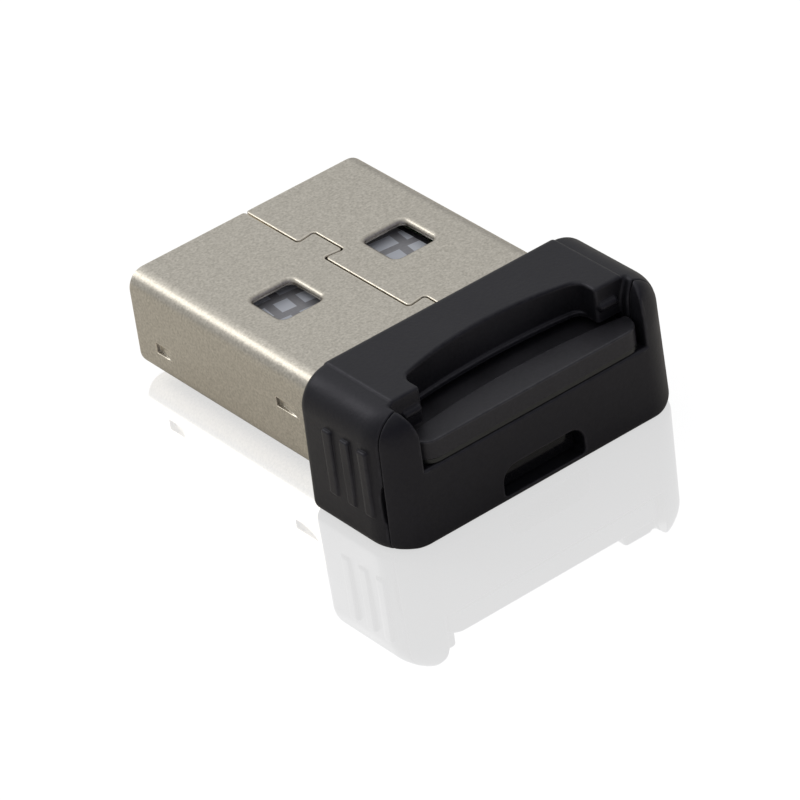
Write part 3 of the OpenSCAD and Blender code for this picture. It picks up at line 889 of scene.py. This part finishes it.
def group_rubbed_edges_and_painted_highlight():
    """Shared effect: the mesh's edge mask, broken up by noise. Materials lighten crisp edges with it, for
    rubbed edges and a painted edge highlight.
    """
    tree, enter, leave = new_group("rubbed_edges_and_painted_highlight", {"Breakup Scale": 2500.0}, ("Mask",))
    edge = node(tree, "ShaderNodeAttribute", attribute_name="edge")
    coords = tree.nodes.new("ShaderNodeTexCoord")
    noise = node(tree, "ShaderNodeTexNoise", Detail=4.0, Roughness=0.6)
    broken = node(tree, "ShaderNodeMapRange", clamp=True, From_Min=0.3, From_Max=0.6, To_Min=0.35)
    product = node(tree, "ShaderNodeMath", operation="MULTIPLY")
    link(tree, coords.outputs["Object"], noise.inputs["Vector"])
    link(tree, enter.outputs["Breakup Scale"], noise.inputs["Scale"])
    link(tree, noise.outputs["Fac"], broken.inputs["Value"])
    link(tree, edge.outputs["Fac"], product.inputs[0])
    link(tree, broken.outputs["Result"], product.inputs[1])
    link(tree, product.outputs[0], leave.inputs["Mask"])
    return tree


GRAIN = group_grain()
EDGES = group_rubbed_edges_and_painted_highlight()


def surface(name, dark, light, rough, metallic=0.0, grain=9000.0, blotch=300.0, bump=0.3,
            bump_height=0.00001, edge_colour_rubbed_and_highlight=None, worn_rough=None, specular=0.5, tint=(1, 1, 1)):
    """Material with grain: colour runs from dark to light over blotches and specks, and crisp edges take a
    lighter edge colour, which is partly rubbed edges and partly a painted edge highlight.
    """
    mat = bpy.data.materials.new(name)
    mat.use_nodes = True
    tree = mat.node_tree
    shader = tree.nodes["Principled BSDF"]
    shader.inputs["Metallic"].default_value = metallic
    shader.inputs["Specular IOR Level"].default_value = specular
    shader.inputs["Specular Tint"].default_value = (*tint, 1)
    effect = shared(tree, GRAIN, Scale=grain, Blotch_Scale=blotch)
    colour = node(tree, "ShaderNodeMix", data_type="RGBA")
    colour.inputs[BELOW].default_value = (*dark, 1)
    colour.inputs[ABOVE].default_value = (*light, 1)
    mixed = node(tree, "ShaderNodeMath", operation="MULTIPLY_ADD")
    mixed.inputs[1].default_value = 0.5
    link(tree, effect.outputs["Blotch"], mixed.inputs[0])
    half = node(tree, "ShaderNodeMath", operation="MULTIPLY")
    half.inputs[1].default_value = 0.5
    link(tree, effect.outputs["Speck"], half.inputs[0])
    link(tree, half.outputs[0], mixed.inputs[2])
    contrast = node(tree, "ShaderNodeMapRange", clamp=True, From_Min=0.35, From_Max=0.65)
    link(tree, mixed.outputs[0], contrast.inputs["Value"])
    link(tree, contrast.outputs["Result"], colour.inputs[FACTOR])
    gloss = node(tree, "ShaderNodeMapRange", clamp=True, From_Min=0.3, From_Max=0.7,
                 To_Min=rough[0], To_Max=rough[1])
    link(tree, effect.outputs["Blotch"], gloss.inputs["Value"])
    out_colour, out_gloss = colour.outputs[2], gloss.outputs["Result"]
    # crisp edges take a lighter colour: rubbed edges and a painted edge highlight
    if edge_colour_rubbed_and_highlight is not None:
        edge_rub_and_highlight_mask = shared(tree, EDGES)
        over = node(tree, "ShaderNodeMix", data_type="RGBA")
        over.inputs[ABOVE].default_value = (*edge_colour_rubbed_and_highlight, 1)
        link(tree, edge_rub_and_highlight_mask.outputs["Mask"], over.inputs[FACTOR])
        link(tree, out_colour, over.inputs[BELOW])
        out_colour = over.outputs[2]
        polish = node(tree, "ShaderNodeMix", data_type="FLOAT")
        polish.inputs[3].default_value = worn_rough
        link(tree, edge_rub_and_highlight_mask.outputs["Mask"], polish.inputs[0])
        link(tree, out_gloss, polish.inputs[2])
        out_gloss = polish.outputs[0]
    link(tree, out_colour, shader.inputs["Base Color"])
    link(tree, out_gloss, shader.inputs["Roughness"])
    relief = node(tree, "ShaderNodeBump", Strength=bump, Distance=bump_height)
    link(tree, effect.outputs["Height"], relief.inputs["Height"])
    link(tree, relief.outputs["Normal"], shader.inputs["Normal"])
    return mat


# each edge colour below is lighter than its base: rubbed edges and a painted highlight along crisp edges
housing_plastic = surface("housing_plastic", (0.0075, 0.0075, 0.0095), (0.012, 0.012, 0.0145), (0.36, 0.46),
                          grain=11000, blotch=500, bump=0.55, bump_height=0.000012, specular=0.39,
                          tint=(0.88, 0.87, 1.0),
                          edge_colour_rubbed_and_highlight=(0.03, 0.03, 0.034), worn_rough=0.36)
nickel = surface("satin_nickel", (0.52, 0.49, 0.425), (0.76, 0.72, 0.64), (0.30, 0.37), metallic=1.0,
                 grain=18000, blotch=9000, bump=0.5, bump_height=0.000007,
                 edge_colour_rubbed_and_highlight=(0.85, 0.79, 0.68), worn_rough=0.2)
card_plastic = surface("card_plastic", (0.017, 0.0165, 0.0195), (0.027, 0.026, 0.031), (0.42, 0.5),
                       grain=14000, blotch=700, bump=0.35, bump_height=0.000008, tint=(0.93, 0.93, 1.0),
                       edge_colour_rubbed_and_highlight=(0.05, 0.05, 0.055), worn_rough=0.35)
carrier_plastic = surface("carrier_plastic", (0.02, 0.02, 0.021), (0.03, 0.03, 0.031), (0.4, 0.5))
gold_plate = surface("gold_plate", (0.75, 0.52, 0.20), (0.86, 0.64, 0.28), (0.18, 0.28), metallic=1.0,
                     bump=0.1, edge_colour_rubbed_and_highlight=(0.9, 0.7, 0.35), worn_rough=0.12)
solder_mask = surface("solder_mask", (0.012, 0.085, 0.035), (0.02, 0.13, 0.055), (0.25, 0.35), bump=0.15,
                      edge_colour_rubbed_and_highlight=(0.30, 0.28, 0.16), worn_rough=0.6)
chip_epoxy = surface("chip_epoxy", (0.02, 0.02, 0.022), (0.032, 0.032, 0.034), (0.5, 0.62), grain=15000)
plated_can = surface("plated_can", (0.55, 0.54, 0.52), (0.7, 0.69, 0.66), (0.2, 0.3), metallic=1.0, bump=0.15)
ceramic_tan = surface("ceramic_tan", (0.32, 0.21, 0.12), (0.42, 0.29, 0.18), (0.4, 0.5))
ceramic_black = surface("ceramic_black", (0.02, 0.02, 0.02), (0.03, 0.03, 0.03), (0.2, 0.3))
led_epoxy = surface("led_epoxy", (0.62, 0.64, 0.55), (0.72, 0.74, 0.66), (0.15, 0.22), bump=0.05)
natural_nylon = surface("natural_nylon", (0.62, 0.60, 0.52), (0.70, 0.68, 0.60), (0.35, 0.45))
bright_tin = surface("bright_tin", (0.6, 0.6, 0.62), (0.72, 0.72, 0.74), (0.15, 0.25), metallic=1.0, bump=0.2)
laminate = surface("card_laminate", (0.014, 0.016, 0.015), (0.02, 0.023, 0.021), (0.28, 0.36), bump=0.1)
silicon = surface("silicon", (0.28, 0.29, 0.33), (0.36, 0.37, 0.42), (0.08, 0.14), metallic=1.0, bump=0.02)


def make_smoked_lens_material():
    """Smoked clear plastic of the light opening."""
    mat = bpy.data.materials.new("smoked_plastic")
    mat.use_nodes = True
    tree = mat.node_tree
    shader = tree.nodes["Principled BSDF"]
    shader.inputs["Transmission Weight"].default_value = 0.5
    shader.inputs["IOR"].default_value = 1.49
    effect = shared(tree, GRAIN, Scale=6000)
    tint = node(tree, "ShaderNodeMix", data_type="RGBA")
    tint.inputs[BELOW].default_value = (0.012, 0.012, 0.014, 1)
    tint.inputs[ABOVE].default_value = (0.02, 0.02, 0.024, 1)
    link(tree, effect.outputs["Blotch"], tint.inputs[FACTOR])
    link(tree, tint.outputs[2], shader.inputs["Base Color"])
    gloss = node(tree, "ShaderNodeMapRange", To_Min=0.06, To_Max=0.16)
    link(tree, effect.outputs["Blotch"], gloss.inputs["Value"])
    link(tree, gloss.outputs["Result"], shader.inputs["Roughness"])
    return mat


def make_label_material():
    """Printed film: grey ground, a pale panel and a band of plain pale blocks in rows, no lettering."""
    mat = surface("label_print", (0.28, 0.28, 0.305), (0.34, 0.34, 0.365), (0.3, 0.4), grain=16000, bump=0.08)
    tree = mat.node_tree
    shader = tree.nodes["Principled BSDF"]
    base = shader.inputs["Base Color"].links[0].from_socket
    coords = tree.nodes.new("ShaderNodeTexCoord")
    turn = node(tree, "ShaderNodeMapping", Rotation=(0, 0, 0.12))
    rows = node(tree, "ShaderNodeTexBrick", offset=0.37, squash=0.7, squash_frequency=2,
                Scale=1000.0, Brick_Width=1.5, Row_Height=1.15, Mortar_Size=0.2,
                Color1=(0.72, 0.75, 0.82, 1), Color2=(0.58, 0.61, 0.68, 1), Mortar=(0.64, 0.67, 0.74, 1))
    place_on = tree.nodes.new("ShaderNodeSeparateXYZ")
    band = node(tree, "ShaderNodeMath", operation="GREATER_THAN")
    band.inputs[1].default_value = 0.001
    panel = node(tree, "ShaderNodeMath", operation="COMPARE")
    panel.inputs[1].default_value = -0.003
    panel.inputs[2].default_value = 0.0011
    blocks = node(tree, "ShaderNodeMath", operation="SUBTRACT")
    shown = node(tree, "ShaderNodeMath", operation="MAXIMUM")
    ink = node(tree, "ShaderNodeMix", data_type="RGBA")
    link(tree, coords.outputs["Object"], turn.inputs["Vector"])
    link(tree, turn.outputs["Vector"], rows.inputs["Vector"])
    link(tree, coords.outputs["Object"], place_on.inputs[0])
    link(tree, place_on.outputs["Y"], band.inputs[0])
    link(tree, place_on.outputs["Y"], panel.inputs[0])
    link(tree, band.outputs[0], blocks.inputs[0])
    link(tree, rows.outputs["Fac"], blocks.inputs[1])
    link(tree, blocks.outputs[0], shown.inputs[0])
    link(tree, panel.outputs[0], shown.inputs[1])
    link(tree, shown.outputs[0], ink.inputs[FACTOR])
    link(tree, base, ink.inputs[BELOW])
    link(tree, rows.outputs["Color"], ink.inputs[ABOVE])
    link(tree, ink.outputs[2], shader.inputs["Base Color"])
    return mat


smoked_plastic = make_smoked_lens_material()
label_print = make_label_material()

CAD_FINISH = {
    "board_carrier": carrier_plastic, "main_board": solder_mask, "power_contacts": gold_plate,
    "data_contacts": gold_plate, "controller_chip": chip_epoxy, "voltage_regulator": chip_epoxy,
    "crystal_can": plated_can, "capacitors": ceramic_tan, "resistors": ceramic_black,
    "status_led": led_epoxy, "light_lens": smoked_plastic, "spring_block": natural_nylon,
    "card_springs": gold_plate, "solder_joints": bright_tin, "card_substrate": laminate,
    "memory_die": silicon, "card_controller_die": silicon, "card_contacts": gold_plate,
    "card_label": label_print,
}
for name, finish in CAD_FINISH.items():
    mesh = NODES[name].data
    mesh.materials.clear()
    mesh.materials.append(finish)

make_rear_housing(housing_plastic)
make_front_cap(housing_plastic)
make_plug_shell(nickel)
make_card_body(card_plastic)


# ---------------------------------------------------------------- camera, light and floor

def make_camera():
    """Camera above the card end, to the left, looking down at the reader."""
    azimuth, elevation, roll = math.radians(-34.0), math.radians(33.43), math.radians(-8.42)
    distance = 0.22494
    target = Vector((-0.00088, -0.00122, 0.00073))
    back = Vector((math.sin(azimuth) * math.cos(elevation), -math.cos(azimuth) * math.cos(elevation),
                   math.sin(elevation)))
    data = bpy.data.cameras.new("camera")
    data.lens = 257.2
    data.sensor_width = 36.0
    data.clip_start = 0.01
    data.clip_end = 20.0
    obj = bpy.data.objects.new("camera", data)
    turn = back.to_track_quat("Z", "Y").to_matrix() @ Matrix.Rotation(roll, 3, "Z")
    obj.matrix_world = Matrix.Translation(target + back * distance) @ turn.to_4x4()
    bpy.context.scene.collection.objects.link(obj)
    bpy.context.scene.camera = obj


def make_floor():
    """White floor with a faint mirror gloss. It lights the reader a softer grey and is clear from below."""
    size = 3000.0
    drop = -0.01
    corners = np.array([[-size, -size, drop], [size, -size, drop], [size, size, drop], [-size, size, drop]])
    floor = new_object("floor", corners, np.array([[0, 1, 2, 3]]), smooth=False)
    mat = bpy.data.materials.new("floor_white")
    mat.use_nodes = True
    tree = mat.node_tree
    tree.nodes.clear()
    out = tree.nodes.new("ShaderNodeOutputMaterial")
    path = tree.nodes.new("ShaderNodeLightPath")
    grey = node(tree, "ShaderNodeBsdfDiffuse", Color=(0.92, 0.88, 0.80, 1))
    matt = node(tree, "ShaderNodeBsdfDiffuse", Color=(0.14, 0.14, 0.14, 1))
    glow = node(tree, "ShaderNodeEmission", Strength=0.655)
    gloss = node(tree, "ShaderNodeBsdfGlossy", Roughness=0.02, Color=(0.5, 0.5, 0.5, 1))
    lit = tree.nodes.new("ShaderNodeAddShader")
    shiny = tree.nodes.new("ShaderNodeAddShader")
    mix = tree.nodes.new("ShaderNodeMixShader")
    link(tree, matt.outputs[0], lit.inputs[0])
    link(tree, glow.outputs[0], lit.inputs[1])
    link(tree, lit.outputs[0], shiny.inputs[0])
    link(tree, gloss.outputs[0], shiny.inputs[1])
    link(tree, path.outputs["Is Camera Ray"], mix.inputs[0])
    link(tree, grey.outputs[0], mix.inputs[1])
    link(tree, shiny.outputs[0], mix.inputs[2])
    side = tree.nodes.new("ShaderNodeNewGeometry")
    clear = tree.nodes.new("ShaderNodeBsdfTransparent")
    seen = tree.nodes.new("ShaderNodeMixShader")
    link(tree, side.outputs["Backfacing"], seen.inputs[0])
    link(tree, mix.outputs[0], seen.inputs[1])
    link(tree, clear.outputs[0], seen.inputs[2])
    link(tree, seen.outputs[0], out.inputs["Surface"])
    floor.data.materials.append(mat)


def make_soft_box():
    """Warm soft box behind the reader on the left, aimed at it."""
    data = bpy.data.lights.new("back_left_box", "AREA")
    data.shape = "RECTANGLE"
    data.size, data.size_y = 0.16, 0.22
    data.energy = 0.22
    data.color = (1.0, 0.98, 0.95)
    at = Vector((-0.165, 0.345, 0.325))
    aim = Vector((0, 0, 0.003))
    turn = (aim - at).to_track_quat("-Z", "Y").to_matrix()
    obj = bpy.data.objects.new("back_left_box", data)
    obj.matrix_world = Matrix.Translation(at) @ turn.to_4x4()
    obj.visible_camera = False
    bpy.context.scene.collection.objects.link(obj)


def make_sky():
    """Soft studio sky: bright behind, darker and cooler towards the front, and even below the floor."""
    world = bpy.data.worlds.new("studio")
    world.use_nodes = True
    tree = world.node_tree
    background = tree.nodes["Background"]
    coords = tree.nodes.new("ShaderNodeTexCoord")
    lean = node(tree, "ShaderNodeVectorMath", operation="DOT_PRODUCT")
    lean.inputs[1].default_value = (0.0, 0.55, 0.83)
    ramp = tree.nodes.new("ShaderNodeValToRGB")
    stops = ramp.color_ramp.elements
    stops[0].position, stops[0].color = 0.0, (0.19, 0.187, 0.23, 1)
    stops[1].position, stops[1].color = 1.0, (0.95, 0.95, 0.95, 1)
    for position, level in ((0.35, 0.36), (0.84, 0.60)):
        stop = stops.new(position)
        stop.color = (level, level, level, 1)
    split = tree.nodes.new("ShaderNodeSeparateXYZ")
    below = node(tree, "ShaderNodeMath", operation="LESS_THAN")
    below.inputs[1].default_value = 0.0
    sky = node(tree, "ShaderNodeMix", data_type="RGBA")
    sky.inputs[ABOVE].default_value = (0.62, 0.62, 0.62, 1)
    link(tree, coords.outputs["Generated"], lean.inputs[0])
    link(tree, coords.outputs["Generated"], split.inputs[0])
    link(tree, split.outputs["Z"], below.inputs[0])
    link(tree, lean.outputs["Value"], ramp.inputs["Fac"])
    link(tree, below.outputs[0], sky.inputs[FACTOR])
    link(tree, ramp.outputs["Color"], sky.inputs[BELOW])
    link(tree, sky.outputs[2], background.inputs["Color"])
    background.inputs["Strength"].default_value = 1.0
    bpy.context.scene.world = world


make_floor()
make_camera()
make_soft_box()
make_sky()
bpy.context.scene.view_settings.view_transform = "Standard"
